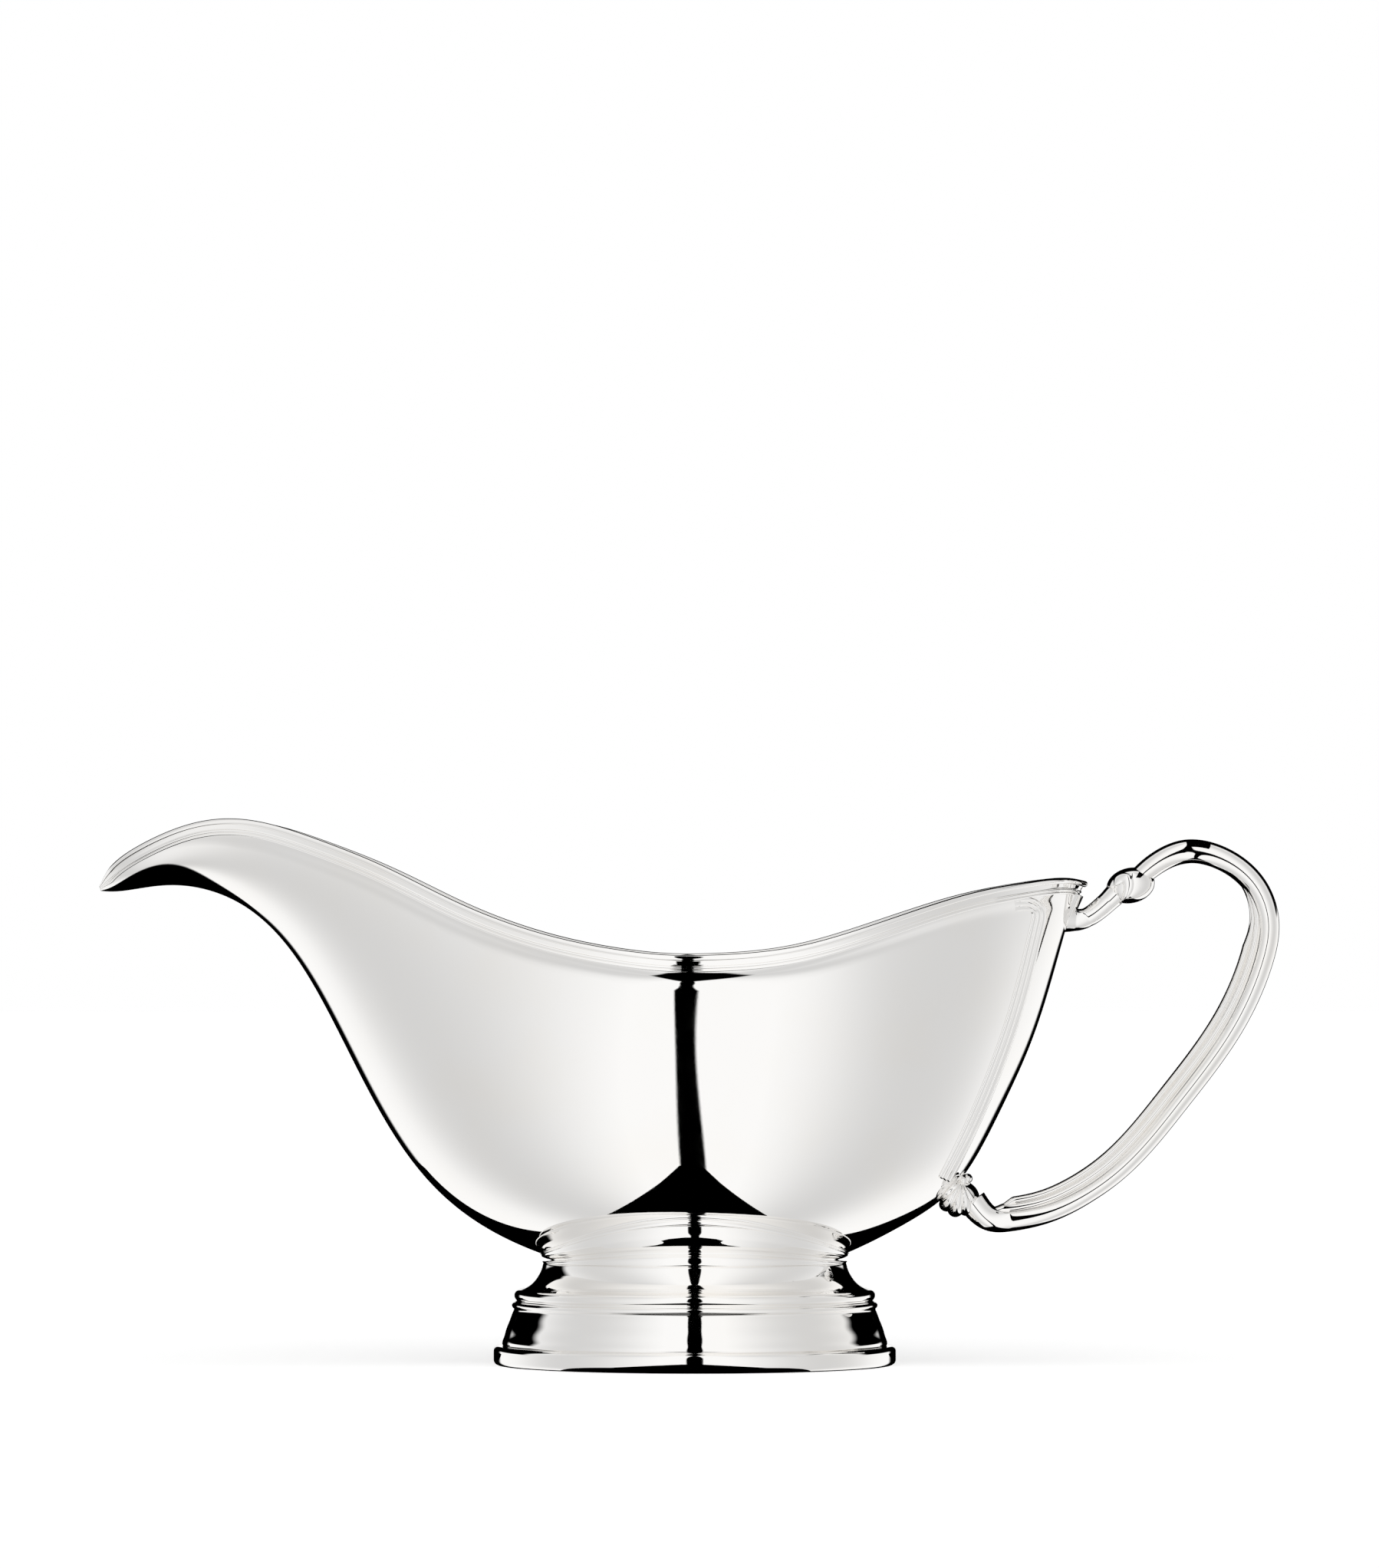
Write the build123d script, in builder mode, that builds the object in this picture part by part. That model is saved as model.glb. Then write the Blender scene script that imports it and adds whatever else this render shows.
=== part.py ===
"""Gravy boat: a long-spouted silver bowl on a moulded oval foot, with a looped handle at its stern.

The frame stands at the middle of the piece on the table, spout towards -X, handle towards +X, +Z up.
"""
from build123d import *
from math import cos, radians, sin, sqrt
import os

os.makedirs("parts", exist_ok=True)

# ---------------------------------------------------------------- driving sizes (mm)
# Bowl
bowl_length = 200.0        # tip of the spout to the lip at the stern
bowl_half_width = 42.4     # middle of the bowl to the outside of its wall, at the rim
bowl_rise = 93.5           # lowest point of the keel to the crest of the spout
keel_height = 16.5         # lowest point of the keel above the table
bowl_wall = 1.2
section_fullness = 1.6     # power of the wall's curve: 2 is an ellipse, and less is slacker at the floor
rim_flare = 2.2            # how far the wall turns out at the rim
rim_flare_depth = 5.4      # how far below the rim the wall starts to turn out
foot_centre_x = 1.06       # the foot's middle, a little towards the handle
foot_station = 0.604       # share of the bowl's length that lies on the spout side of the foot
cavity_headroom = 6.0      # the block that hollows the bowl stands this far above its rim

# Applied mouldings
rim_moulding_depth = 2.4   # height of the moulding on the outside of the rim
rim_moulding_thickness = 0.6
rim_cap = 0.5              # how far the moulding covers the wall's edge
rim_moulding_share = 0.6   # at the spout's tip the moulding covers at most this share of the wall
rim_moulding_bite = 0.98   # its blank reaches a little inside the wall, and is cut back to it
border_moulding_width = 2.8
border_moulding_thickness = 1.0

# Foot
foot_neck_half_length = 0.1525 * bowl_length
foot_neck_half_width = 0.519 * bowl_half_width
foot_wall = 1.2
base_wire_height = 3.9
base_wire_outer = 10.3     # the base wire's two sides, measured out from the neck
base_wire_inner = 6.2
base_wire_round = 1.2
foot_shell_foot = 8.4      # the shell's outside where it stands on the base wire, out from the neck
foot_shell_top = keel_height + 4.2   # the neck, a little above the lowest point of the bowl
collar_groove_depth = 1.2
collar_reach = 15.0        # the collar's blank rises this far, then it is cut to the bowl
# Outlines of the shell: out from the neck, and share of the way up from the base wire to the neck
ogee_line = [(foot_shell_foot, 0), (8.1, 0.12), (7.0, 0.30), (6.1, 0.43)]
lower_bead_line = [(6.4, 0.48), (5.3, 0.54)]
upper_bead_line = [(5.5, 0.62), (4.2, 0.68)]
hollow_line = [(1.5, 0.80), (0, 1)]
shell_inside = [(-foot_wall, 1), (0.2, 0.756), (3.6, 0.52), (5.0, 0.387), (foot_shell_foot - foot_wall, 0)]
# Outlines of the collar: out from the neck, and up from the shell's top
collar_bead_line = [(0, 0), (0.3, 0.8), (-collar_groove_depth, 1.9)]
collar_flare_line = [(0.2, 3.9), (0.9, 6.3), (1.1, collar_reach)]

# Handle
handle_reach = 38.6        # how far the loop stands out from the line between its two ends
loop_rod_radius = 2.4      # main rod of the loop, in the loop's plane
loop_rod_half_width = 2.6  # and across it
outer_reed_radius = 1.2    # the two reeds along its inside, and how deep inside it they lie
outer_reed_depth = 2.3
inner_reed_radius = 0.9
inner_reed_depth = 3.6
knuckle_length = 9.5
knuckle_radius = 3.5
leaf_thickness = 0.7
# Outline of the leaf's blank along and across the knuckle, as shares of the knuckle's length
leaf_outline = [(1, -1), (1, 1), (0.18, 1), (0.18, 0.1), (-0.32, -0.12), (0.18, -0.34), (0.18, -1)]
stem_radius = 2.0
lug_height = 13.0
lug_half_width = 4.4
lug_thickness = 2.4
lug_sections = [(0, 1), (0.3, 0.92), (0.7, 0.62), (1, 0.12)]  # share of its height, and of its size there
lug_rise = 0.16            # the lug's top stands this share of its height above the handle's upper end
lug_inset = 1.0            # and this far towards the bowl
shell_hinge = (0.950, -0.068)  # place of its hinge: share down the handle, share of its reach outward
shell_lobes = 5
shell_lobe_length = 6.4
shell_lobe_radius = 1.3
shell_half_width = 4.4
shell_spread = 110.0       # degrees between the first and the last lobe
shell_lean = 237.0         # direction of the middle lobe, in degrees round from the handle's side

# ---------------------------------------------------------------- the bowl's lines
# Each station is a slanting cross-section from a point of the keel up to a point of the rim:
# (keel along, keel up, rim along, rim up, breadth). Along runs from 0 at the spout's tip to 1 at
# the stern's lip, up from 0 at the lowest keel to 1 at the spout's crest, breadth from the centre.
stations = [
    (0.001, 0.850, 0.000, 0.859, 0.021),
    (0.006, 0.847, 0.006, 0.886, 0.102),
    (0.020, 0.848, 0.020, 0.914, 0.181),
    (0.055, 0.861, 0.055, 0.956, 0.274),
    (0.098, 0.859, 0.103, 0.994, 0.344),
    (0.140, 0.827, 0.153, 0.999, 0.395),
    (0.185, 0.746, 0.215, 0.963, 0.479),
    (0.230, 0.596, 0.288, 0.902, 0.605),
    (0.283, 0.377, 0.373, 0.814, 0.758),
    (0.348, 0.190, 0.463, 0.747, 0.898),
    (0.448, 0.064, 0.547, 0.714, 0.984),
    (0.607, 0.000, 0.617, 0.708, 1.000),
    (0.737, 0.047, 0.707, 0.727, 0.958),
    (0.822, 0.134, 0.792, 0.780, 0.847),
    (0.875, 0.225, 0.867, 0.832, 0.663),
    (0.917, 0.386, 0.922, 0.858, 0.479),
    (0.950, 0.545, 0.962, 0.871, 0.293),
    (0.974, 0.715, 0.987, 0.872, 0.140),
    (0.988, 0.823, 1.000, 0.866, 0.028),
]


def hull_point(along, up):
    """A point of the bowl's middle plane from its shares of length and rise."""
    return Vector(foot_centre_x + (along - foot_station) * bowl_length, 0, keel_height + up * bowl_rise)


def breadth(height, depth, half_width):
    """Half the width of a station at a height above its keel: a deep U with a turned-out rim."""
    flare = rim_flare * half_width / bowl_half_width
    flare_depth = min(rim_flare_depth, depth / 3)
    body = sqrt(1 - (1 - height / depth) ** section_fullness)
    turn_out = max(0, 1 - (depth - height) / flare_depth) ** 2
    return (half_width - flare) * body + flare * turn_out


def station_plane(keel, rim):
    """The plane of a station: its x runs across the bowl and its y up from keel to rim."""
    up = (rim - keel).normalized()
    return Plane(origin=keel, x_dir=(0, 1, 0), z_dir=(up.Z, 0, -up.X))


def inner_line(index):
    """The floor point and the rim point of a station on the inside of the bowl."""
    keel_along, keel_up, rim_along, rim_up, _ = stations[index]
    before, after = (hull_point(*stations[i][:2]) for i in (index - 1, index + 1))
    inward = Vector(before.Z - after.Z, 0, after.X - before.X).normalized()
    return hull_point(keel_along, keel_up) + inward * bowl_wall, hull_point(rim_along, rim_up)


def wall_line(depth, half_width):
    """Points of one station's wall, from the rim on one side by the keel to the other rim."""
    shares = [1, 1 - 0.5 * min(rim_flare_depth / depth, 1 / 3), 0.82, 0.6, 0.36, 0.16, 0.04]
    side = [(breadth(share * depth, depth, half_width), share * depth) for share in shares]
    return side + [(0, 0)] + [(-y, height) for y, height in reversed(side)]


# ---------------------------------------------------------------- bowl
with BuildPart() as hull:  # the bowl's outside as a solid block, which the other pieces fit
    for keel_along, keel_up, rim_along, rim_up, share in stations:
        keel, rim = hull_point(keel_along, keel_up), hull_point(rim_along, rim_up)
        with BuildSketch(station_plane(keel, rim)):
            with BuildLine():
                wall = Spline(*wall_line((rim - keel).length, share * bowl_half_width))
                Line(wall @ 0, wall @ 1)
            make_face()
    loft()

with BuildPart() as cavity:  # the bowl's inside, standing above the rim
    for index in range(1, len(stations) - 1):
        floor, rim = inner_line(index)
        half_width = stations[index][4] * bowl_half_width - bowl_wall
        with BuildSketch(station_plane(floor, rim)):
            with BuildLine():
                wall = Spline(*wall_line((rim - floor).length, half_width))
                left = Line(wall @ 0, (wall @ 0) + Vector(0, cavity_headroom))
                right = Line(wall @ 1, (wall @ 1) + Vector(0, cavity_headroom))
                Line(left @ 1, right @ 1)
            make_face()
    loft()

with BuildPart() as bowl:
    add(hull.part)
    add(cavity.part, mode=Mode.SUBTRACT)
bowl.part.label = "bowl"
export_step(bowl.part, "parts/bowl.step")

# ---------------------------------------------------------------- rim mouldings
# A plain band covers the outside of the rim and its edge, from the spout's tip to the stern's lip.
with BuildPart() as rim_moulding_right:
    for keel_along, keel_up, rim_along, rim_up, share in stations:
        keel, rim = hull_point(keel_along, keel_up), hull_point(rim_along, rim_up)
        depth, half_width = (rim - keel).length, share * bowl_half_width
        low = depth - min(rim_moulding_depth, rim_moulding_share * depth)
        outer = breadth(low, depth, half_width) + rim_moulding_thickness
        inner = max(0, half_width - bowl_wall)
        with BuildSketch(station_plane(keel, rim)):
            with BuildLine():
                Polyline(
                    (-outer, low),
                    (-half_width - rim_moulding_thickness, depth + rim_cap),
                    (-inner, depth + rim_cap),
                    (-inner * rim_moulding_bite, low),
                    close=True,
                )
            make_face()
    loft()
    add(hull.part, mode=Mode.SUBTRACT)
    add(cavity.part, mode=Mode.SUBTRACT)
rim_moulding_right.part.label = "rim_moulding_right"
export_step(rim_moulding_right.part, "parts/rim_moulding_right.step")

with BuildPart() as rim_moulding_left:
    add(mirror(rim_moulding_right.part, about=Plane.XZ))
rim_moulding_left.part.label = "rim_moulding_left"
export_step(rim_moulding_left.part, "parts/rim_moulding_left.step")


# ---------------------------------------------------------------- border mouldings
def skin_point(along, up):
    """The point of the hull's right side that lies beside a point of its middle plane."""
    middle = hull_point(along, up)
    beside = Axis((middle.X, -2 * bowl_half_width, middle.Z), (0, 1, 0))
    return hull.part.find_intersection_points(beside)[0][0]


# From the corner under the rim down the stern to the handle's lower end, as shares of the bowl.
border_line = [(0.950, 0.836), (0.948, 0.777), (0.938, 0.678), (0.924, 0.577), (0.908, 0.478), (0.890, 0.378),
               (0.868, 0.280), (0.853, 0.228)]
with BuildPart() as border_moulding_right:
    with BuildLine():
        border = Spline(*[skin_point(along, up) for along, up in border_line])
    side = Vector(0, 1, 0) - (border % 0) * (border % 0).Y
    with BuildSketch(Plane(origin=border @ 0, x_dir=(border % 0).cross(side), z_dir=border % 0)):
        Ellipse(x_radius=border_moulding_width / 2, y_radius=border_moulding_thickness)
    sweep()
    add(hull.part, mode=Mode.SUBTRACT)
    add(rim_moulding_right.part, mode=Mode.SUBTRACT)
border_moulding_right.part.label = "border_moulding_right"
export_step(border_moulding_right.part, "parts/border_moulding_right.step")

with BuildPart() as border_moulding_left:
    add(mirror(border_moulding_right.part, about=Plane.XZ))
border_moulding_left.part.label = "border_moulding_left"
export_step(border_moulding_left.part, "parts/border_moulding_left.step")

# ---------------------------------------------------------------- foot
# Every ring of the foot runs round the same oval, the neck, and its profile is drawn outward from it.
foot_end = Plane(origin=(foot_centre_x + foot_neck_half_length, 0, 0), x_dir=(1, 0, 0), z_dir=(0, -1, 0))


def foot_oval():
    """The oval of the foot's neck, as the line that a ring's profile follows."""
    return EllipticalCenterArc((foot_centre_x, 0), foot_neck_half_length, foot_neck_half_width, arc_size=360)


def shell_points(line):
    """Points of the shell's outline in the plane of its profile."""
    return [(out, base_wire_height + share * (foot_shell_top - base_wire_height)) for out, share in line]


def collar_points(line):
    """Points of the collar's outline in the plane of its profile."""
    return [(out, foot_shell_top + up) for out, up in line]


with BuildPart() as base_wire:  # the thick ring that the piece stands on
    with BuildSketch():
        with Locations((foot_centre_x, 0)):
            Ellipse(foot_neck_half_length + base_wire_outer, foot_neck_half_width + base_wire_outer)
            Ellipse(foot_neck_half_length + base_wire_inner, foot_neck_half_width + base_wire_inner,
                    mode=Mode.SUBTRACT)
    extrude(amount=base_wire_height)
    outer_edges = base_wire.edges().group_by(SortBy.LENGTH)[-1]
    fillet(outer_edges, base_wire_round)
base_wire.part.label = "base_wire"
export_step(base_wire.part, "parts/base_wire.step")

with BuildPart() as foot:  # hollow: an ogee, two beads and a hollow curve up to the neck
    with BuildLine():
        foot_oval()
    with BuildSketch(foot_end):
        with BuildLine():
            ogee = Spline(*shell_points(ogee_line))
            lower_bead = ThreePointArc(ogee @ 1, *shell_points(lower_bead_line))
            upper_bead = ThreePointArc(lower_bead @ 1, *shell_points(upper_bead_line))
            hollow = ThreePointArc(upper_bead @ 1, *shell_points(hollow_line))
            Polyline(hollow @ 1, *shell_points(shell_inside), ogee @ 0)
        make_face()
    sweep(is_frenet=True)
    add(hull.part, mode=Mode.SUBTRACT)
foot.part.label = "foot"
export_step(foot.part, "parts/foot.step")

with BuildPart() as foot_collar:  # seats the bowl: its top is cut to the bowl's underside
    with BuildLine():
        foot_oval()
    with BuildSketch(foot_end):
        with BuildLine():
            bead = ThreePointArc(*collar_points(collar_bead_line))
            flare = Spline(bead @ 1, *collar_points(collar_flare_line))
            inner_line_up = [(-foot_wall, collar_reach), (-foot_wall - collar_groove_depth, collar_bead_line[-1][1]),
                             (-foot_wall, 0)]
            Polyline(flare @ 1, *collar_points(inner_line_up), bead @ 0)
        make_face()
    sweep(is_frenet=True)
    add(hull.part, mode=Mode.SUBTRACT)
foot_collar.part.label = "foot_collar"
export_step(foot_collar.part, "parts/foot_collar.step")

# ---------------------------------------------------------------- handle
# The loop is laid out on the line from the lug, under the stern's lip, down to the shell at its foot.
lug_point = hull_point(0.990, 0.822)
shell_point = hull_point(0.882, 0.170)
drop = shell_point - lug_point
outward = Vector(-drop.Z, 0, drop.X).normalized()


def handle_point(down, out):
    """A point of the handle: a share of the way down to the shell, and of its reach outward."""
    return lug_point + drop * down + outward * (out * handle_reach)


with BuildPart() as handle_lug:  # a pointed shield soldered under the lip
    lug_top = Vector(lug_point.X - lug_inset, 0, lug_point.Z + lug_rise * lug_height)
    for share, size in lug_sections:
        centre = lug_top + drop.normalized() * (share * lug_height)
        with BuildSketch(Plane(origin=centre, x_dir=(0, 1, 0), z_dir=drop)):
            Ellipse(x_radius=size * lug_half_width, y_radius=size * lug_thickness)
    loft()
    add(hull.part, mode=Mode.SUBTRACT)
    add(rim_moulding_left.part, mode=Mode.SUBTRACT)
    add(rim_moulding_right.part, mode=Mode.SUBTRACT)
handle_lug.part.label = "handle_lug"
export_step(handle_lug.part, "parts/handle_lug.step")

knuckle_start = handle_point(-0.076, 0.145)
knuckle_end = handle_point(-0.150, 0.344)
knuckle_middle = (knuckle_start + knuckle_end) * 0.5
knuckle_axis = (knuckle_end - knuckle_start).normalized()
with BuildPart() as handle_knuckle:  # an egg-shaped bulb between the stem and the loop
    with BuildSketch(Plane(origin=knuckle_middle, x_dir=knuckle_axis, z_dir=(0, -1, 0))):
        Ellipse(x_radius=knuckle_length / 2, y_radius=knuckle_radius)
        Rectangle(knuckle_length, knuckle_radius, align=(Align.CENTER, Align.MAX), mode=Mode.SUBTRACT)
    revolve(axis=Axis(knuckle_middle, knuckle_axis))
handle_knuckle.part.label = "handle_knuckle"
export_step(handle_knuckle.part, "parts/handle_knuckle.step")

with BuildPart() as handle_stem:  # a short swan-neck from the lug to the knuckle
    with BuildLine():
        stem = Spline(handle_point(0.045, 0.02), handle_point(0.028, 0.075), handle_point(-0.015, 0.15),
                      knuckle_middle, tangents=[(1, 0, -0.1), knuckle_axis])
    with BuildSketch(Plane(origin=stem @ 0, z_dir=stem % 0)):
        Circle(stem_radius)
    sweep()
    for neighbour in (hull, handle_lug, handle_knuckle):
        add(neighbour.part, mode=Mode.SUBTRACT)
handle_stem.part.label = "handle_stem"
export_step(handle_stem.part, "parts/handle_stem.step")

# The loop is one main rod, bent to a swan's neck, with two reeds along its inside that rise out of it
# beyond the crown. Each rod section is (share of the length, thickness in the loop's plane, width).
loop_line = [(-0.210, 0.340), (-0.272, 0.463), (-0.289, 0.630), (-0.238, 0.873), (-0.141, 0.995),
             (-0.025, 1.030), (0.215, 0.996), (0.473, 0.867), (0.743, 0.683), (0.859, 0.545), (0.936, 0.413),
             (0.991, 0.269), (1.017, 0.120), (0.998, 0.020)]
rod_sections = [(0, 0.88, 0.88), (0.25, 1, 1), (0.5, 0.84, 1), (0.8, 0.84, 0.96), (1, 0.8, 0.9)]
reed_start = 0.2           # share of the loop where the reeds begin
reed_rise = 0.29           # share of the loop over which they come out of the rod
reed_points = 12


def inside_of(share):
    """The direction from a point of the loop's line towards the space for the fingers."""
    return Vector(0, 1, 0).cross(loop % share)


with BuildPart() as handle_loop:
    with BuildLine():
        loop = Spline(knuckle_middle, *[handle_point(down, out) for down, out in loop_line])
    for share, thickness, width in rod_sections:
        with BuildSketch(Plane(origin=loop @ share, x_dir=inside_of(share), z_dir=loop % share)):
            Ellipse(thickness * loop_rod_radius, width * loop_rod_half_width)
    sweep(multisection=True)
    for radius, depth in ((outer_reed_radius, outer_reed_depth), (inner_reed_radius, inner_reed_depth)):
        shares = [reed_start + (1 - reed_start) * step / reed_points for step in range(reed_points + 1)]
        risen = [min(1, (share - reed_start) / reed_rise) * depth for share in shares]
        with BuildLine():
            reed = Spline(*[loop @ share + inside_of(share) * rise for share, rise in zip(shares, risen)])
        with BuildSketch(Plane(origin=reed @ 0, z_dir=reed % 0)):
            Circle(radius)
        sweep(path=reed)
    for neighbour in (hull, handle_knuckle):
        add(neighbour.part, mode=Mode.SUBTRACT)
handle_loop.part.label = "handle_loop"
export_step(handle_loop.part, "parts/handle_loop.step")

with BuildPart() as knuckle_leaf:  # a pointed leaf wrapped over the end of the knuckle where the loop springs
    with BuildSketch(Plane(origin=knuckle_middle, x_dir=knuckle_axis, z_dir=(0, -1, 0))):
        Ellipse(x_radius=knuckle_length / 2 + leaf_thickness, y_radius=knuckle_radius + leaf_thickness)
        Rectangle(2 * knuckle_length, 2 * knuckle_radius, align=(Align.CENTER, Align.MAX), mode=Mode.SUBTRACT)
    revolve(axis=Axis(knuckle_middle, knuckle_axis))
    with BuildSketch(Plane(origin=knuckle_middle, x_dir=knuckle_axis, z_dir=(0, -1, 0))):
        with BuildLine():
            corners = [(along * knuckle_length, up * knuckle_length) for along, up in leaf_outline]
            Polyline(*corners, close=True)
        make_face()
    extrude(amount=knuckle_length, both=True, mode=Mode.INTERSECT)
    for neighbour in (handle_knuckle, handle_loop):
        add(neighbour.part, mode=Mode.SUBTRACT)
knuckle_leaf.part.label = "knuckle_leaf"
export_step(knuckle_leaf.part, "parts/knuckle_leaf.step")

# A scallop of lobes fans down from its hinge, high on the loop's end, and seats it against the bowl.
hinge = handle_point(*shell_hinge)
with BuildPart() as lower_shell:
    with BuildSketch(Plane(origin=hinge, x_dir=(1, 0, 0), z_dir=(0, -1, 0))):
        for lobe in range(shell_lobes):
            angle = shell_lean + shell_spread * (lobe / (shell_lobes - 1) - 0.5)
            middle = shell_lobe_length / 2
            with Locations(Location((middle * cos(radians(angle)), middle * sin(radians(angle)), 0), angle)):
                Ellipse(middle, shell_lobe_radius)
    extrude(amount=shell_half_width, both=True)
    for neighbour in (hull, border_moulding_left, border_moulding_right, handle_loop):
        add(neighbour.part, mode=Mode.SUBTRACT)
lower_shell.part.label = "lower_shell"
export_step(lower_shell.part, "parts/lower_shell.step")
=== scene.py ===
"""Looks of the gravy boat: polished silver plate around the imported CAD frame, in metres."""
from math import cos, pi, radians, sin

import bmesh
import bpy
import numpy as np
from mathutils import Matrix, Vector
from mathutils.bvhtree import BVHTree


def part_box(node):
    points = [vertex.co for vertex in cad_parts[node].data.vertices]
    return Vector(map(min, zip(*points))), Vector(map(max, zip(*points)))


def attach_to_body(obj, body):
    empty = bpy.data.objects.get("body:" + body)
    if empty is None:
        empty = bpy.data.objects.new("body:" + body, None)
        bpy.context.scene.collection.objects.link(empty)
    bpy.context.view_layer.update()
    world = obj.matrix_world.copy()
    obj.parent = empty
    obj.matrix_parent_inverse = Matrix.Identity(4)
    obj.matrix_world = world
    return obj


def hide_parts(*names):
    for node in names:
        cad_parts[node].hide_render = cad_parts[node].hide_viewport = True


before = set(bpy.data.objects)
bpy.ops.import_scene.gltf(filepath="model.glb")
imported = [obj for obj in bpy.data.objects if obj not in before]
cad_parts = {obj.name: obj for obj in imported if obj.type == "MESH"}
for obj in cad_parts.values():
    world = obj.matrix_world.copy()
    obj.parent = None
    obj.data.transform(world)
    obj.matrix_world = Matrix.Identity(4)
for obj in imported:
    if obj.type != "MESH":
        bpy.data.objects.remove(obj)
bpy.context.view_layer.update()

MM = 0.001

# ---------------------------------------------------------------- sizes that the frame doesn't name
BOWL_WALL = 1.2 * MM
RIM_FLARE = 2.2 * MM
RIM_FLARE_DEPTH = 5.4 * MM
RIM_MOULDING_DEPTH = 2.9 * MM
SECTION_FULLNESS = 1.6         # power of the wall's curve: 2 is an ellipse, less is slacker below
COVE = (2.2 * MM, 5.4 * MM)    # how far below the rim the wall's cove ends and starts
COVE_ROUND = 0.45              # 0 is a straight slope and 1 is an S curve
BASE_REACH = 10.3 * MM         # the base wire's outside, measured out from the foot's neck
FOOT_SHELL_TOP = 20.7 * MM

bowl_low, bowl_high = (Vector(corner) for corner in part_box("bowl"))
base_low, base_high = (Vector(corner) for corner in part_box("base_wire"))
WALL_SHARE = 0.994             # of the bowl's half width: the rim's bead stands outside the wall
HALF_WIDTH = bowl_high.y * WALL_SHARE
FOOT_X = (base_low.x + base_high.x) / 2
NECK_X = (base_high.x - base_low.x) / 2 - BASE_REACH
NECK_Y = base_high.y - BASE_REACH

# Slanting cross-sections of the bowl, as in the CAD part: keel along and up, rim along and up, and
# breadth, as shares of the bowl's length, rise and half width.
STATIONS = np.array([
    (0.001, 0.850, 0.000, 0.859, 0.021),
    (0.006, 0.847, 0.006, 0.886, 0.102),
    (0.020, 0.848, 0.020, 0.914, 0.181),
    (0.055, 0.861, 0.055, 0.956, 0.274),
    (0.098, 0.859, 0.103, 0.994, 0.344),
    (0.140, 0.827, 0.153, 0.999, 0.395),
    (0.185, 0.746, 0.215, 0.963, 0.479),
    (0.230, 0.596, 0.288, 0.902, 0.605),
    (0.283, 0.377, 0.373, 0.814, 0.758),
    (0.348, 0.190, 0.463, 0.747, 0.898),
    (0.448, 0.064, 0.547, 0.714, 0.984),
    (0.607, 0.000, 0.617, 0.708, 1.000),
    (0.737, 0.047, 0.707, 0.727, 0.958),
    (0.822, 0.134, 0.792, 0.780, 0.847),
    (0.875, 0.225, 0.867, 0.832, 0.663),
    (0.917, 0.386, 0.922, 0.858, 0.479),
    (0.950, 0.545, 0.962, 0.871, 0.293),
    (0.974, 0.715, 0.987, 0.872, 0.140),
    (0.988, 0.823, 1.000, 0.866, 0.028),
])


# ---------------------------------------------------------------- curves and meshes
def spline(knots, values, at):
    """A natural cubic spline through values at the knots, read at many places."""
    knots, values, at = np.asarray(knots, float), np.asarray(values, float), np.asarray(at, float)
    count, gaps = len(knots), np.diff(knots)
    system, right = np.eye(count), np.zeros((count,) + values.shape[1:])
    for i in range(1, count - 1):
        system[i, i - 1:i + 2] = gaps[i - 1], 2 * (gaps[i - 1] + gaps[i]), gaps[i]
        right[i] = 6 * ((values[i + 1] - values[i]) / gaps[i] - (values[i] - values[i - 1]) / gaps[i - 1])
    bend = np.linalg.solve(system, right)
    i = np.clip(np.searchsorted(knots, at) - 1, 0, count - 2)
    span = gaps[i]
    a, b = (knots[i + 1] - at) / span, (at - knots[i]) / span
    if values.ndim > 1:
        a, b, span = a[:, None], b[:, None], span[:, None]
    curve = (a ** 3 - a) * bend[i] + (b ** 3 - b) * bend[i + 1]
    return a * values[i] + b * values[i + 1] + curve * span ** 2 / 6


def chord(points):
    """Distance along a row of points, from its first."""
    steps = np.linalg.norm(np.diff(points, axis=0), axis=1)
    return np.concatenate([[0], np.cumsum(steps)])


def through(points, count):
    """Evenly spread points of a smooth curve through the given ones."""
    points = np.asarray(points, float)
    knots = chord(points)
    return spline(knots, points, np.linspace(0, knots[-1], count))


def arc(centre, radius, start, end, count=10, squash=1.0):
    """Points of an arc in a moulding's profile, in degrees."""
    angles = np.radians(np.linspace(start, end, count))
    return [(centre[0] + radius * cos(a), centre[1] + squash * radius * sin(a)) for a in angles]


def grid_mesh(name, grid, close_rows=False, close_columns=False, material=None):
    """A smooth mesh over a grid of points, joined end to end where asked."""
    rows, columns = grid.shape[:2]
    faces = []
    for i in range(rows if close_rows else rows - 1):
        for j in range(columns if close_columns else columns - 1):
            k, n = (i + 1) % rows, (j + 1) % columns
            faces.append((i * columns + j, i * columns + n, k * columns + n, k * columns + j))
    if not close_rows and close_columns:
        faces.append(tuple(range(columns - 1, -1, -1)))
        faces.append(tuple((rows - 1) * columns + j for j in range(columns)))
    return build(name, grid.reshape(-1, 3), faces, material)


def build(name, points, faces, material):
    """A smooth-shaded object from points and faces, its normals pointing out."""
    mesh = bpy.data.meshes.new(name)
    mesh.from_pydata([tuple(p) for p in points], [], faces)
    shape = bmesh.new()
    shape.from_mesh(mesh)
    bmesh.ops.remove_doubles(shape, verts=shape.verts, dist=1e-7)
    bmesh.ops.recalc_face_normals(shape, faces=shape.faces)
    shape.to_mesh(mesh)
    shape.free()
    piece = bpy.data.objects.new(name, mesh)
    bpy.context.scene.collection.objects.link(piece)
    for face in mesh.polygons:
        face.use_smooth = True
    if material:
        mesh.materials.append(material)
    return piece


def join(name, pieces):
    """Several meshes as one piece."""
    with bpy.context.temp_override(active_object=pieces[0], selected_editable_objects=pieces):
        bpy.ops.object.join()
    pieces[0].name = name
    return pieces[0]


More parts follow.
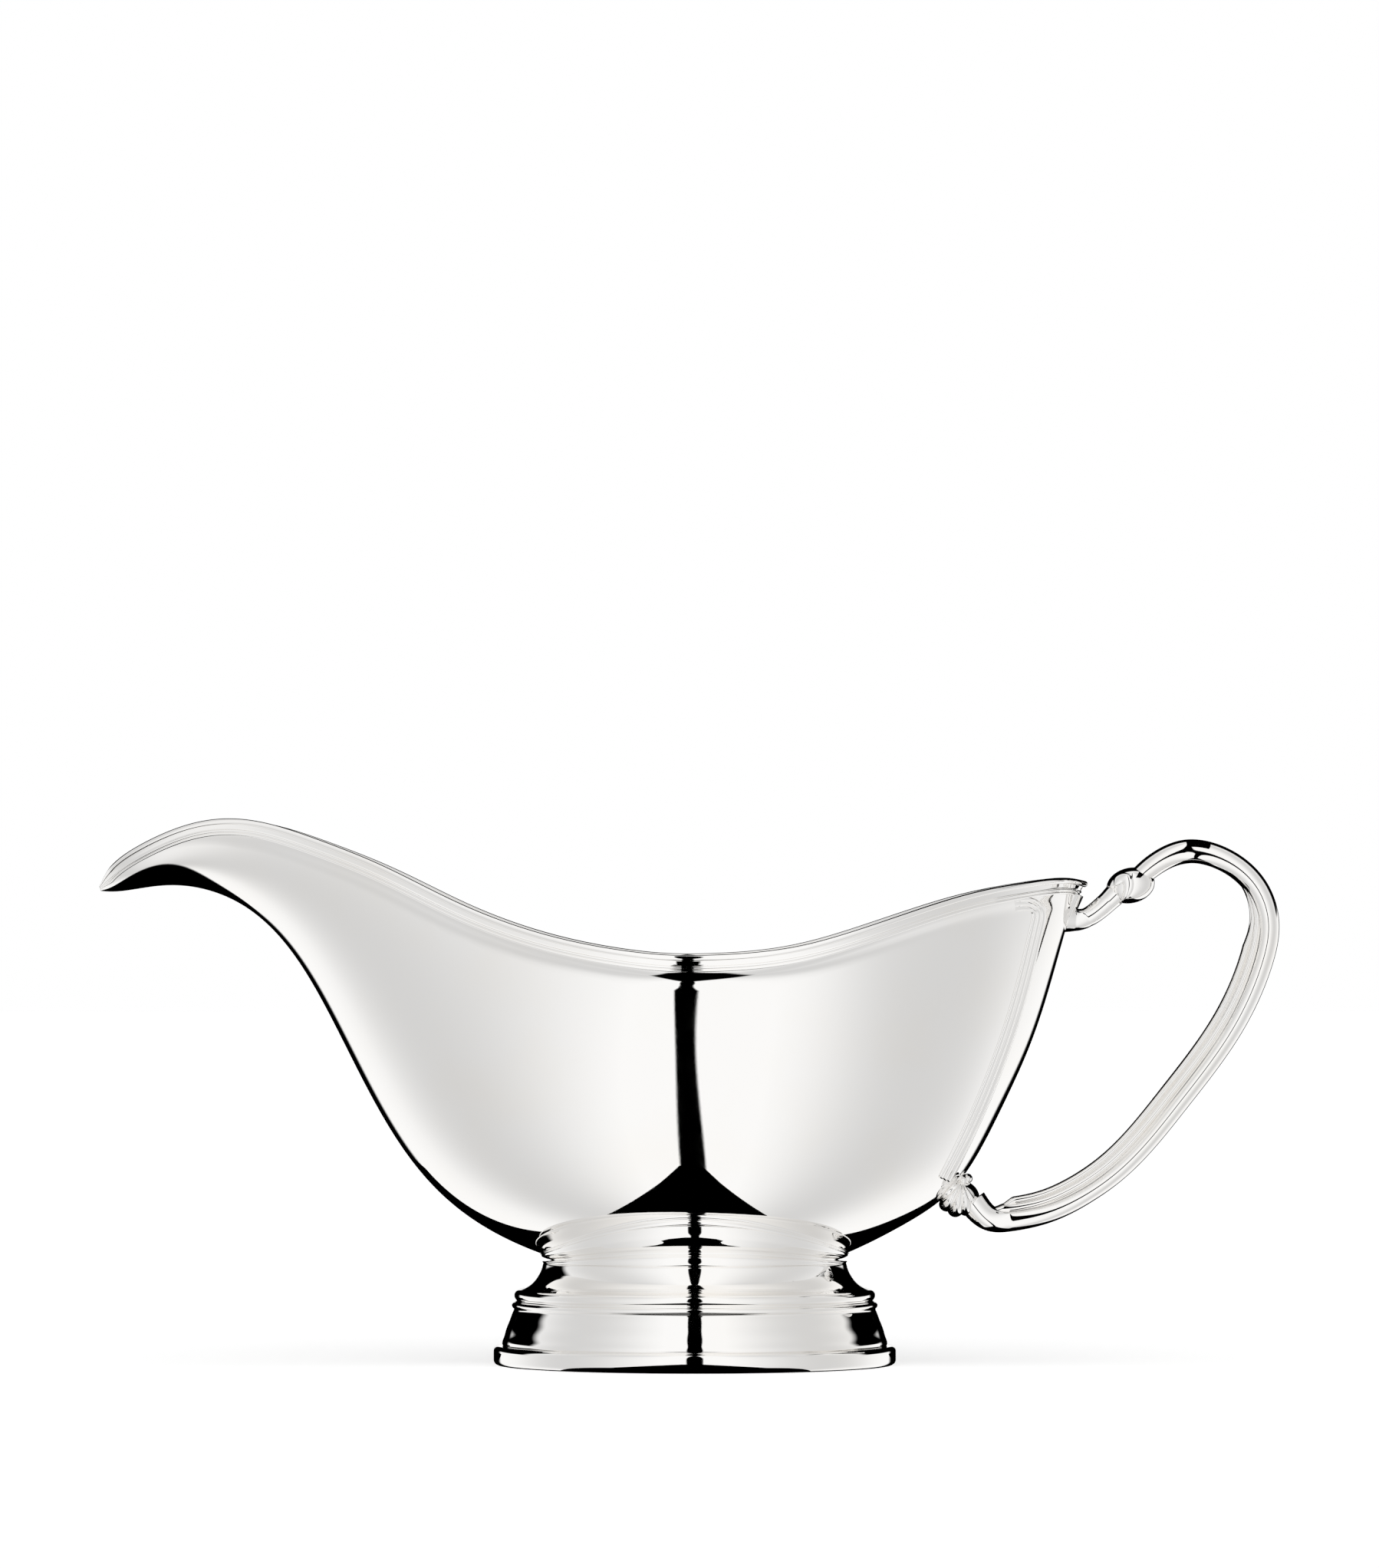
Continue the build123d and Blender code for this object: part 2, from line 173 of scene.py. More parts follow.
def attach(piece, *nodes):
    """Puts a piece on the part's one body, in place of the CAD nodes it stands for."""
    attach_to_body(piece, "root")
    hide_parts(*nodes)


# ---------------------------------------------------------------- materials
TARNISH_SCALE, RIPPLE_SCALE = 45, 2200      # noise cells to the metre
RIPPLE_STRENGTH, RIPPLE_HEIGHT = 0.02, 0.02 * MM
WORN_GLOSS = 2.4                            # how much rougher the most worn patches are
TARNISH_TINT = (0.97, 0.93, 0.86)


def silver(name, tint, gloss, wear_scale, tarnish):
    """Polished silver plate: fine wear in the gloss, faint ripples, and a breath of warm tarnish."""
    material = bpy.data.materials.new(name)
    material.use_nodes = True
    nodes, links = material.node_tree.nodes, material.node_tree.links
    shader = nodes["Principled BSDF"]
    shader.inputs["Metallic"].default_value = 1.0
    place = nodes.new("ShaderNodeTexCoord")

    def noise(scale, detail):
        texture = nodes.new("ShaderNodeTexNoise")
        texture.inputs["Scale"].default_value = scale
        texture.inputs["Detail"].default_value = detail
        links.new(place.outputs["Object"], texture.inputs["Vector"])
        return texture.outputs["Fac"]

    def ramp(source, low, high, start, end):
        steps = nodes.new("ShaderNodeMapRange")
        steps.inputs["From Min"].default_value, steps.inputs["From Max"].default_value = low, high
        steps.inputs["To Min"].default_value, steps.inputs["To Max"].default_value = start, end
        links.new(source, steps.inputs["Value"])
        return steps.outputs["Result"]

    links.new(ramp(noise(wear_scale, 6), 0.35, 0.75, gloss, gloss * WORN_GLOSS), shader.inputs["Roughness"])
    colour = nodes.new("ShaderNodeMix")
    colour.data_type = "RGBA"
    colour.inputs["A"].default_value = (*tint, 1)
    colour.inputs["B"].default_value = (*(own * worn for own, worn in zip(tint, TARNISH_TINT)), 1)
    links.new(ramp(noise(TARNISH_SCALE, 4), 0.45, 0.8, 0.0, tarnish), colour.inputs["Factor"])
    links.new(colour.outputs["Result"], shader.inputs["Base Color"])
    bump = nodes.new("ShaderNodeBump")
    bump.inputs["Strength"].default_value = RIPPLE_STRENGTH
    bump.inputs["Distance"].default_value = RIPPLE_HEIGHT
    links.new(noise(RIPPLE_SCALE, 3), bump.inputs["Height"])
    links.new(bump.outputs["Normal"], shader.inputs["Normal"])
    return material


BODY_SILVER = silver("polished_body", (0.965, 0.955, 0.94), 0.014, 350, 0.25)
CAST_SILVER = silver("polished_casting", (0.96, 0.95, 0.935), 0.012, 500, 0.3)


# ---------------------------------------------------------------- the bowl's surface
LENGTH = bowl_high.x - bowl_low.x
RISE = bowl_high.z - bowl_low.z
corner, extent = np.array([bowl_low.x, bowl_low.z]), np.array([LENGTH, RISE])
keel_knots = corner + STATIONS[:, 0:2] * extent
rim_knots = corner + STATIONS[:, 2:4] * extent
knots = (chord(keel_knots) + chord(rim_knots)) / 2
knots = knots / knots[-1]
LINES_COUNT = 1200
FAIRING = 14                   # rows that the smoothing reaches over
line_at = np.linspace(0, 1, LINES_COUNT)
line_values = spline(knots, np.hstack([keel_knots, rim_knots, STATIONS[:, 4:5] * HALF_WIDTH]), line_at)


def fair(values, reach):
    """Smooths rows of values as a batten would, and holds both ends."""
    kernel = np.exp(-0.5 * (np.arange(-3 * reach, 3 * reach + 1) / reach) ** 2)
    kernel /= kernel.sum()
    pad = 3 * reach
    out = np.empty_like(values)
    for column in range(values.shape[1]):
        row = values[:, column]
        before = 2 * row[0] - row[pad:0:-1]
        after = 2 * row[-1] - row[-2:-pad - 2:-1]
        out[:, column] = np.convolve(np.concatenate([before, row, after]), kernel, mode="valid")
    return out


line_values = fair(line_values, FAIRING)


def lines(u):
    """Keel, rim and half width of the sections at shares u of the bowl's run."""
    read = np.stack([np.interp(u, line_at, line_values[:, k]) for k in range(5)], axis=-1)
    return read[..., 0:2], read[..., 2:4], read[..., 4]


def half_breadth(height, depth, half_width):
    """Half the width of a section at a height above its keel: a deep U with a turned-out rim."""
    flare = RIM_FLARE * half_width / HALF_WIDTH
    flare_depth = np.minimum(RIM_FLARE_DEPTH, depth / 3)
    body = np.sqrt(np.maximum(0, 1 - (1 - np.clip(height / depth, 0, 1)) ** SECTION_FULLNESS))
    below = (depth - height) / flare_depth * RIM_FLARE_DEPTH
    ease = np.clip((COVE[1] - below) / (COVE[1] - COVE[0]), 0, 1)
    turn_out = ease - COVE_ROUND * np.sin(2 * pi * ease) / (2 * pi)
    return (half_width - flare) * body + flare * turn_out


def section_point(keel, rim, half_width, height):
    """A point of a section on the right side, at a height above its keel."""
    up = rim - keel
    depth = np.linalg.norm(up, axis=-1)
    direction = up / depth[..., None]
    middle = keel + direction * height[..., None]
    y = -half_breadth(height, depth, half_width)
    return np.stack([middle[..., 0], y, middle[..., 1]], axis=-1)


def skin(u, drop):
    """Points of the bowl's right side at distances below the rim, with the outward normals there."""
    def place(u, drop):
        keel, rim, half_width = lines(u)
        depth = np.linalg.norm(rim - keel, axis=-1)
        return section_point(keel, rim, half_width, depth - drop)
    u, drop = np.broadcast_arrays(np.asarray(u, float), np.asarray(drop, float))
    on_wall = np.maximum(drop, 0.05 * MM)
    step, rise = 4e-4, 0.04 * MM
    along = place(np.clip(u + step, 0, 1), on_wall) - place(np.clip(u - step, 0, 1), on_wall)
    down = place(u, on_wall + rise) - place(u, on_wall)
    normal = np.cross(down, along)
    normal /= np.linalg.norm(normal, axis=-1)[..., None]
    point = place(u, on_wall) + down / rise * (drop - on_wall)[..., None]
    return point, normal


def both_sides(grid):
    """A right-side grid, from the rim to the keel, continued up the left side."""
    mirrored = grid[:, -2::-1] * np.array([1, -1, 1])
    return np.concatenate([grid, mirrored], axis=1)


ROWS, COLUMNS = 420, 90
KEEL_CROWDING = 1.25           # power that draws the columns together towards the keel
u_rows = np.linspace(0, 1, ROWS)
turn = np.linspace(pi / 2, 0, COLUMNS)


def wall_grid(inset):
    """The bowl's outside, or its inside when it is inset by the wall."""
    keel, rim, half_width = lines(u_rows)
    depth = np.linalg.norm(rim - keel, axis=-1)
    if inset:
        slope = np.gradient(keel, axis=0)
        slope /= np.linalg.norm(slope, axis=1)[:, None]
        inward = np.stack([-slope[:, 1], slope[:, 0]], axis=1)
        keel = keel + inward * (inset * depth / (depth + 2 * inset))[:, None]
        depth = np.linalg.norm(rim - keel, axis=-1)
        half_width = half_width ** 2 / (half_width + inset)
    height = depth[:, None] * (1 - np.cos(turn)[None, :] ** KEEL_CROWDING)
    return section_point(keel[:, None], rim[:, None], half_width[:, None], height)


outer, inner = both_sides(wall_grid(0)), both_sides(wall_grid(BOWL_WALL))
bowl_grid = np.concatenate([outer, inner[:, ::-1]], axis=1)
bowl = grid_mesh("bowl_body", bowl_grid, close_columns=True, material=BODY_SILVER)
attach(bowl, "bowl")

outer_rows, outer_columns = outer.shape[:2]
outer_faces = [(i * outer_columns + j, i * outer_columns + j + 1, (i + 1) * outer_columns + j + 1,
                (i + 1) * outer_columns + j) for i in range(outer_rows - 1) for j in range(outer_columns - 1)]
hull_tree = BVHTree.FromPolygons([tuple(p) for p in outer.reshape(-1, 3)], outer_faces)


# ---------------------------------------------------------------- rim moulding
# Its profile is a list of (out from the wall, down from the rim): over the wall's edge from the inside,
# a round bead, a cove and two fine threads.
rim_profile = (
    [(-1.35, 0.9), (-1.38, 0.3)]
    + arc((-0.85, 0.05), 0.52, 180, 270, 8)
    + arc((0.02, 0.10), 0.62, 270, 450, 16)
    + arc((0.02, 1.12), 0.40, 270, 180, 5)[1:3]
    + [(0.04, 1.5)]
    + arc((0.06, 1.95), 0.27, 270, 450, 9)
    + arc((0.06, 2.55), 0.27, 270, 450, 9)
    + [(-0.12, 2.95)]
)


RIM_COVER = 0.62               # the most of the bowl's depth that the moulding covers, at the tips
RIM_FULL_FROM = 3.2 * MM       # half width of the bowl from which the moulding has its full lap inside


def rim_side(sign, shares):
    """The rim moulding along one side of the bowl, as a grid."""
    keel, rim, half_width = lines(shares)
    depth = np.linalg.norm(rim - keel, axis=-1)
    fit = np.minimum(1, RIM_COVER * depth / RIM_MOULDING_DEPTH)[:, None]
    slim = np.minimum(1, half_width / RIM_FULL_FROM)[:, None]
    profile = np.array(rim_profile) * MM
    point, normal = skin(shares[:, None], profile[None, :, 1] * fit)
    out = np.where(profile[None, :, 0] < 0, profile[None, :, 0] * slim, profile[None, :, 0] * fit)
    grid = point + normal * out[..., None]
    grid[..., 1] *= -sign
    return grid


rim_shares = np.linspace(0, 1, 500)
rim_grid = np.concatenate([rim_side(-1, rim_shares[::-1]), rim_side(1, rim_shares)], axis=0)
rim = grid_mesh("rim_moulding", rim_grid, close_rows=True, close_columns=True, material=BODY_SILVER)
attach(rim, "rim_moulding_left", "rim_moulding_right")

# ---------------------------------------------------------------- foot
foot_angles = np.linspace(0, 2 * pi, 360, endpoint=False)


def foot_ring(name, profile, nodes, lift=None):
    """A moulded ring round the foot's oval from a closed profile of (out from the neck, up), in mm."""
    profile = np.array(profile) * MM
    neck = np.stack([NECK_X * np.cos(foot_angles), NECK_Y * np.sin(foot_angles)], axis=1)
    out = np.stack([NECK_Y * np.cos(foot_angles), NECK_X * np.sin(foot_angles)], axis=1)
    out /= np.linalg.norm(out, axis=1)[:, None]
    flat = neck[:, None] + out[:, None] * profile[None, :, 0, None]
    height = np.broadcast_to(profile[None, :, 1], flat.shape[:2])
    if lift is not None:
        height = lift(height)
    grid = np.concatenate([flat + np.array([FOOT_X, 0]), height[..., None]], axis=2)
    ring = grid_mesh(name, grid, close_rows=True, close_columns=True, material=BODY_SILVER)
    attach(ring, *nodes)
    return ring


base_profile = (
    arc((9.2, 1.1), 1.1, -90, 0, 8) + arc((9.25, 2.85), 1.05, 0, 90, 8) + arc((6.6, 3.5), 0.4, 90, 180, 5)
    + [(6.2, 0.3), (6.5, 0.0)]
)
foot_ring("base_ring", base_profile, ["base_wire"])

ogee = through([(8.5, 3.9), (8.55, 4.6), (8.25, 5.5), (7.75, 7.2), (7.05, 9.0), (6.45, 10.6),
                (6.15, 11.3)], 26)
hollow = through([(4.15, 15.55), (3.2, 16.0), (2.1, 16.9), (1.1, 18.3), (0.5, 19.6), (0.25, 20.7)], 20)
foot_profile = (
    [tuple(p) for p in ogee]
    + arc((5.85, 12.1), 0.75, -60, 75, 9, 0.95)
    + arc((4.95, 14.1), 1.15, -62, 85, 14, 1.05)
    + [tuple(p) for p in hollow]
    + [(-0.9, 20.7), (0.0, 16.8), (3.2, 13.2), (5.0, 10.4), (7.2, 4.2), (7.4, 3.9)]
)
foot_ring("foot_shell", foot_profile, ["foot"])

# The collar's heights are shares of the gap between the neck and the bowl's underside all round.
COLLAR_TOP_OUT = 0.95          # mm out from the neck where its top meets the bowl
COLLAR_BITE = 0.15 * MM        # and how far that top reaches into the bowl's wall
collar_hollow = through([(-1.1, 0.31), (-0.3, 0.40), (0.35, 0.54), (0.62, 0.68), (0.60, 0.765)], 16)
collar_profile = (
    arc((0.0, 0.10), 0.42, -80, 60, 8, 0.25)
    + [(-0.9, 0.235), (-1.45, 0.25), (-1.35, 0.28)]
    + [tuple(p) for p in collar_hollow]
    + arc((0.48, 0.835), 0.42, -75, 75, 8, 0.13)
    + arc((0.42, 0.955), 0.60, -75, 80, 9, 0.075)
    + [(-1.0, 1.05), (-2.4, 1.1), (-2.6, 0.3), (-1.4, 0.0)]
)


def seat_heights(shares):
    """The collar's heights, from its shares, so that its top follows the bowl's underside."""
    heights = np.empty(shares.shape)
    for i, angle in enumerate(foot_angles):
        out = Vector((NECK_Y * cos(angle), NECK_X * sin(angle), 0)).normalized() * COLLAR_TOP_OUT * MM
        start = Vector((FOOT_X + NECK_X * cos(angle), NECK_Y * sin(angle), 0)) + out
        hit = hull_tree.ray_cast(start, Vector((0, 0, 1)))[0]
        top = hit.z + COLLAR_BITE
        heights[i] = FOOT_SHELL_TOP + shares[i] / MM * (top - FOOT_SHELL_TOP)
    return heights


foot_ring("bowl_collar", collar_profile, ["foot_collar"], lift=seat_heights)

# ---------------------------------------------------------------- border mouldings
def on_bowl(flat):
    """Where points of the middle plane lie on the bowl: share of its run and distance below the rim."""
    keel, rim, _ = lines(line_at)
    up = rim - keel
    depth = np.linalg.norm(up, axis=1)
    shares, drops = np.empty(len(flat)), np.empty(len(flat))
    for i, (x, z) in enumerate(flat):
        side = up[:, 0] * (z - keel[:, 1]) - up[:, 1] * (x - keel[:, 0])
        tall = (up[:, 0] * (x - keel[:, 0]) + up[:, 1] * (z - keel[:, 1])) / depth
        crossing = np.nonzero((side[:-1] * side[1:] <= 0) & (tall[:-1] > -depth[:-1] * 0.1))[0][-1]
        part = side[crossing] / (side[crossing] - side[crossing + 1])
        shares[i] = line_at[crossing] + part * (line_at[crossing + 1] - line_at[crossing])
        drops[i] = np.interp(shares[i], line_at, depth) - np.interp(shares[i], line_at, tall)
    return shares, drops


# From under the rim, round a corner and down the stern to the handle's shell, as shares of the bowl.
BORDER_LINE = [(0.918, 0.8195), (0.931, 0.8215), (0.9425, 0.8200), (0.9492, 0.808), (0.9490, 0.778),
               (0.938, 0.679), (0.925, 0.578), (0.909, 0.479), (0.890, 0.379), (0.868, 0.279), (0.856, 0.228)]
THREADS = (-0.95, 0.0, 0.95)      # middles of the three threads across the moulding, in mm
THREAD_RADIUS = 0.46
THREAD_LIFT, THREAD_RISE = 0.10, 0.75       # its ground off the wall in mm, and a thread's share of round
BORDER_EDGE, BORDER_SINK = 1.5, -0.3        # half its width, and where its edges sink in the wall, in mm


def thread(middle):
    """One round thread of the moulding's profile, as (across, off the wall)."""
    across = np.linspace(middle - THREAD_RADIUS, middle + THREAD_RADIUS, 9)
    round_off = [max(0, 1 - ((q - middle) / THREAD_RADIUS) ** 2) ** 0.5 for q in across]
    return [(q, THREAD_LIFT + THREAD_RISE * THREAD_RADIUS * share) for q, share in zip(across, round_off)]


across_profile = [point for middle in THREADS for point in thread(middle)]
across_profile = [(-BORDER_EDGE, BORDER_SINK)] + across_profile + [(BORDER_EDGE, BORDER_SINK)]


def border(name, sign, node):
    """A threaded moulding laid on one side of the bowl along its line."""
    line = through([(bowl_low.x + along * LENGTH, bowl_low.z + up * RISE) for along, up in BORDER_LINE], 160)
    heading = np.gradient(line, axis=0)
    heading /= np.linalg.norm(heading, axis=1)[:, None]
    sideways = np.stack([heading[:, 1], -heading[:, 0]], axis=1)
    profile = np.array(across_profile) * MM
    flat = line[:, None] + sideways[:, None] * profile[None, :, 0, None]
    shares, drops = on_bowl(flat.reshape(-1, 2))
    point, normal = skin(shares, drops)
    # It comes up out of the wall over the first few points, and is at full height from there on.
    rise = np.clip(np.linspace(-0.5, 22, len(line)), -0.5, 1)[:, None] * np.ones(len(profile))
    relief = np.where(profile[None, :, 1] > 0, profile[None, :, 1] * rise, profile[None, :, 1]).reshape(-1, 1)
    grid = (point + normal * relief).reshape(flat.shape[0], flat.shape[1], 3)
    grid[..., 1] *= -sign
    piece = grid_mesh(name, grid, close_columns=True, material=CAST_SILVER)
    attach(piece, node)


border("border_right", -1, "border_moulding_right")
border("border_left", 1, "border_moulding_left")


# ---------------------------------------------------------------- handle
def bowl_place(along, up):
    """A point of the bowl's middle plane from its shares of length and rise."""
    return np.array([bowl_low.x + along * LENGTH, 0, bowl_low.z + up * RISE])


HANDLE_REACH = 38.6 * MM
lug_point, shell_point = bowl_place(0.990, 0.822), bowl_place(0.882, 0.170)
drop_line = shell_point - lug_point
outward = np.array([-drop_line[2], 0, drop_line[0]]) / np.linalg.norm(drop_line)
ACROSS = np.array([0.0, 1.0, 0.0])


def handle_place(down, out):
    """A point of the handle: a share of the way down to the shell, and of its reach outward."""
    return lug_point + drop_line * down + outward * (out * HANDLE_REACH)


def tube(name, line, thick, wide, sides=40, material=None):
    """A rod along a line in the handle's plane; thick is its radius in that plane and wide across it."""
    heading = np.gradient(line, axis=0)
    heading /= np.linalg.norm(heading, axis=1)[:, None]
    inside = np.cross(ACROSS, heading)
    turn = np.linspace(0, 2 * pi, sides, endpoint=False)
    thick, wide = (np.broadcast_to(np.asarray(size, float), len(line)) for size in (thick, wide))
    grid = (line[:, None] + inside[:, None] * (thick[:, None] * np.cos(turn))[..., None]
            + ACROSS * (wide[:, None] * np.sin(turn))[..., None])
    return grid_mesh(name, grid, close_columns=True, material=material)


BESIDE_BOWL = (0, -1, 0.05)    # a point well out on its right, from which the hull's side is known
HULL_OUTWARD = -1.0 if hull_tree.find_nearest(BESIDE_BOWL)[1].y > 0 else 1.0


def seat(piece, sink=0.5 * MM):
    """Draws in whatever of a piece lies deeper than a little inside the bowl, to stay within its wall."""
    for vertex in piece.data.vertices:
        near, facing, _, _ = hull_tree.find_nearest(vertex.co)
        outward = facing * HULL_OUTWARD
        depth = (near - vertex.co).dot(outward)
        if depth > sink:
            vertex.co = near - outward * sink


knuckle_start, knuckle_end = handle_place(-0.076, 0.145), handle_place(-0.150, 0.344)
knuckle_middle = (knuckle_start + knuckle_end) / 2
knuckle_axis = (knuckle_end - knuckle_start) / np.linalg.norm(knuckle_end - knuckle_start)
LOOP_LINE = [(-0.210, 0.340), (-0.272, 0.463), (-0.289, 0.630), (-0.238, 0.873), (-0.141, 0.995),
             (-0.025, 1.030), (0.215, 0.996), (0.473, 0.867), (0.743, 0.683), (0.859, 0.545), (0.936, 0.413),
             (0.991, 0.269), (1.017, 0.120), (0.985, 0.010)]
loop_line = through([knuckle_middle] + [handle_place(*share) for share in LOOP_LINE], 420)
share = np.linspace(0, 1, len(loop_line))
rod_thick = np.interp(share, [0, 0.04, 0.10, 0.25, 0.5, 0.8, 0.93, 1],
                      [2.0, 2.25, 2.45, 2.35, 2.05, 1.95, 2.3, 3.0]) * MM
rod_wide = np.interp(share, [0, 0.1, 0.25, 0.8, 0.93, 1], [2.3, 2.5, 2.6, 2.5, 2.5, 3.4]) * MM
rod = tube("handle_rod", loop_line, rod_thick, rod_wide, 56, CAST_SILVER)
heading = np.gradient(loop_line, axis=0)
heading /= np.linalg.norm(heading, axis=1)[:, None]
inside = np.cross(ACROSS, heading)
# Each reed's radius, half width and depth inside the loop, in mm, and where along it the reed runs
REEDS = [(0.98, 1.5, 2.5, 0.13, 0.975), (0.78, 1.1, 3.95, 0.16, 0.955)]
reeds = []
for number, (radius, wide, depth, start, stop) in enumerate(REEDS):
    chosen = (share >= start) & (share <= stop)
    rise = np.minimum(1, (share[chosen] - start) / 0.17) * np.minimum(1, 0.3 + (stop - share[chosen]) / 0.05)
    line = loop_line[chosen] + inside[chosen] * (depth * MM * (0.25 + 0.75 * rise))[:, None]
    thick = radius * MM * (0.4 + 0.6 * rise)
    reeds.append(tube(f"handle_reed_{number}", line, thick, wide * MM, 28, CAST_SILVER))
loop_piece = join("handle_loop_reeded", [rod] + reeds)
seat(loop_piece)
attach(loop_piece, "handle_loop")


def ball(name, centre, axis, length, radius, across=None, shape=None, material=None, rows=120, columns=120):
    """An egg about an axis in the handle's plane, with its surface raised by shape where given."""
    inward = np.cross(ACROSS, axis)
    polar, turn = np.linspace(0, pi, rows), np.linspace(0, 2 * pi, columns, endpoint=False)
    along = np.cos(polar)[:, None] * np.ones(columns)
    round_in = np.sin(polar)[:, None] * np.cos(turn)
    round_out = np.sin(polar)[:, None] * np.sin(turn)
    grid = (centre + axis * (along * length)[..., None] + inward * (round_in * radius)[..., None]
            + ACROSS * (round_out * (across or radius))[..., None])
    if shape is not None:
        outer = (axis * (along / length)[..., None] + inward * (round_in / radius)[..., None]
                 + ACROSS * (round_out / (across or radius))[..., None])
        outer /= np.linalg.norm(outer, axis=-1)[..., None]
        grid = grid + outer * shape(grid)[..., None]
    return grid_mesh(name, grid, close_columns=True, material=material)


KNUCKLE_HALF_LENGTH, KNUCKLE_RADIUS = 4.95 * MM, 3.6 * MM
knuckle = ball("handle_knuckle_bulb", knuckle_middle, knuckle_axis, KNUCKLE_HALF_LENGTH, KNUCKLE_RADIUS,
               material=CAST_SILVER)
attach(knuckle, "handle_knuckle")

# The leaf is a curled blade lying on each side of the knuckle, from its round head to its point.
LEAF_EDGE, LEAF_SWELL = 0.12, 0.42          # mm off the knuckle at its edge, and the rise to its spine
LEAF_SUNK = -0.25                           # the rest of the leaf's mesh lies hidden in the knuckle
LEAF_SPINE = through([(-3.0, 0.3), (-2.3, 1.3), (-1.1, 1.3), (-0.6, 0.0), (-1.0, -1.7),
                      (-2.1, -3.3)], 80) * MM
LEAF_WIDTH = np.interp(np.linspace(0, 1, 80), [0, 0.12, 0.4, 0.75, 1], [0.45, 0.95, 1.15, 0.8, 0.05]) * MM


def leaf_height(points):
    """How high the curled leaf stands off the knuckle at points of its surface."""
    flat = (points - knuckle_middle)[..., [0, 2]]
    away = np.linalg.norm(flat[..., None, :] - LEAF_SPINE, axis=-1) / LEAF_WIDTH
    nearest = away.min(axis=-1)
    blade = LEAF_EDGE + LEAF_SWELL * np.sqrt(np.clip(1 - nearest ** 2, 0, 1))
    return np.where(nearest < 1, blade, LEAF_SUNK) * MM


leaf = ball("knuckle_leaf_curl", knuckle_middle, knuckle_axis, KNUCKLE_HALF_LENGTH, KNUCKLE_RADIUS,
            shape=leaf_height, material=CAST_SILVER, rows=260, columns=320)
attach(leaf, "knuckle_leaf")

stem_line = through([handle_place(0.050, -0.01), handle_place(0.046, 0.030), handle_place(0.034, 0.070),
                     handle_place(-0.005, 0.125), knuckle_start * 0.4 + knuckle_middle * 0.6], 90)
stem_share = np.linspace(0, 1, 90)
stem_thick = np.interp(stem_share, [0, 0.12, 0.3, 0.7, 1], [2.9, 2.3, 2.0, 2.15, 2.5]) * MM
stem = tube("handle_stem_neck", stem_line, stem_thick, stem_thick * 1.05, 48, CAST_SILVER)
seat(stem)
attach(stem, "handle_stem")

LUG_HEIGHT = 11.5 * MM
lug_down = drop_line / np.linalg.norm(drop_line)
lug_share = np.linspace(0, 1, 60)
lug_top = lug_point + np.array([-0.6 * MM, 0, 0.2 * LUG_HEIGHT])
lug_line = lug_top[None] + lug_down * (lug_share * LUG_HEIGHT)[:, None]
lug_size = np.interp(lug_share, [0, 0.25, 0.55, 0.85, 1], [1.0, 0.9, 0.72, 0.35, 0.08])
lug = tube("handle_lug_shield", lug_line, lug_size * 2.5 * MM, lug_size * 4.4 * MM, 56, CAST_SILVER)
seat(lug)
attach(lug, "handle_lug")

# The scallop: a rounded shell whose ribs fan out from a knot at its hinge.
hinge = handle_place(0.938, -0.075)
SHELL_RIBS = 6
RIB_PITCH = radians(25)
RIB_LEAN = radians(232)        # direction of the middle rib, round from the handle's side
RIB_HEIGHT, RIB_FULL_AT = 0.6 * MM, 3.2 * MM
RIB_ROUND, RIB_SUNK = 0.8, 0.6              # how rounded the ribs are, and the share that lies in the shell


def rib_height(points):
    """How high the scallop's ribs stand at points of its surface."""
    away = points - hinge
    reach = np.linalg.norm(away[..., [0, 2]], axis=-1)
    angle = (np.arctan2(away[..., 2], away[..., 0]) - RIB_LEAN + pi) % (2 * pi) - pi
    ribs = np.abs(np.cos(angle * pi / RIB_PITCH)) ** RIB_ROUND
    fan = np.clip((SHELL_RIBS * RIB_PITCH / 2 - np.abs(angle)) / radians(8), 0, 1)
    return (ribs - RIB_SUNK) * fan * np.clip(reach / RIB_FULL_AT, 0, 1) * RIB_HEIGHT


shell = ball("scallop", hinge + np.array([-0.6, 0, -3.4]) * MM, np.array([1.0, 0, 0]), 4.2 * MM, 3.7 * MM,
             across=4.6 * MM, shape=rib_height, material=CAST_SILVER, rows=220, columns=320)
# The knot is three pressed balls: place from the hinge along and up, radius and half width, in mm
KNOT = [(0.2, 0.2, 1.3, 2.6), (1.2, 0.6, 1.0, 2.2), (-0.8, 0.9, 0.9, 2.4)]
knot = [ball(f"scallop_knot_{i}", hinge + np.array([x, 0, z]) * MM, np.array([1.0, 0, 0]), r * MM, r * MM,
             across=w * MM, material=CAST_SILVER, rows=40, columns=40)
        for i, (x, z, r, w) in enumerate(KNOT)]
scallop = join("scallop_shell", [shell] + knot)
seat(scallop)
attach(scallop, "lower_shell")

# ---------------------------------------------------------------- light
# Brightness of the tent at angles round from its front
TENT = [(0, 1.06), (18, 1.02), (40, 0.76), (62, 0.66), (85, 0.70), (112, 0.98), (150, 1.03), (180, 1.03)]
SLIT_WIDEST = 9.0              # degrees each side of the front, and shares of it down to the table
SLIT_SHAPE = [(0.0, 0.42), (0.20, 0.40), (0.40, 0.24), (0.60, 0.25), (0.80, 0.38), (1.0, 0.6)]
RING = (8, 37)                 # degrees round the far horizon point where dark cards stand
BACK_TOP = 78                  # and above the horizon they reach out to here
TABLE_APEX, TABLE_SPREAD = 0.52, 0.40       # where the table's dark wedge starts, and how it opens
BACKDROP = 1.0


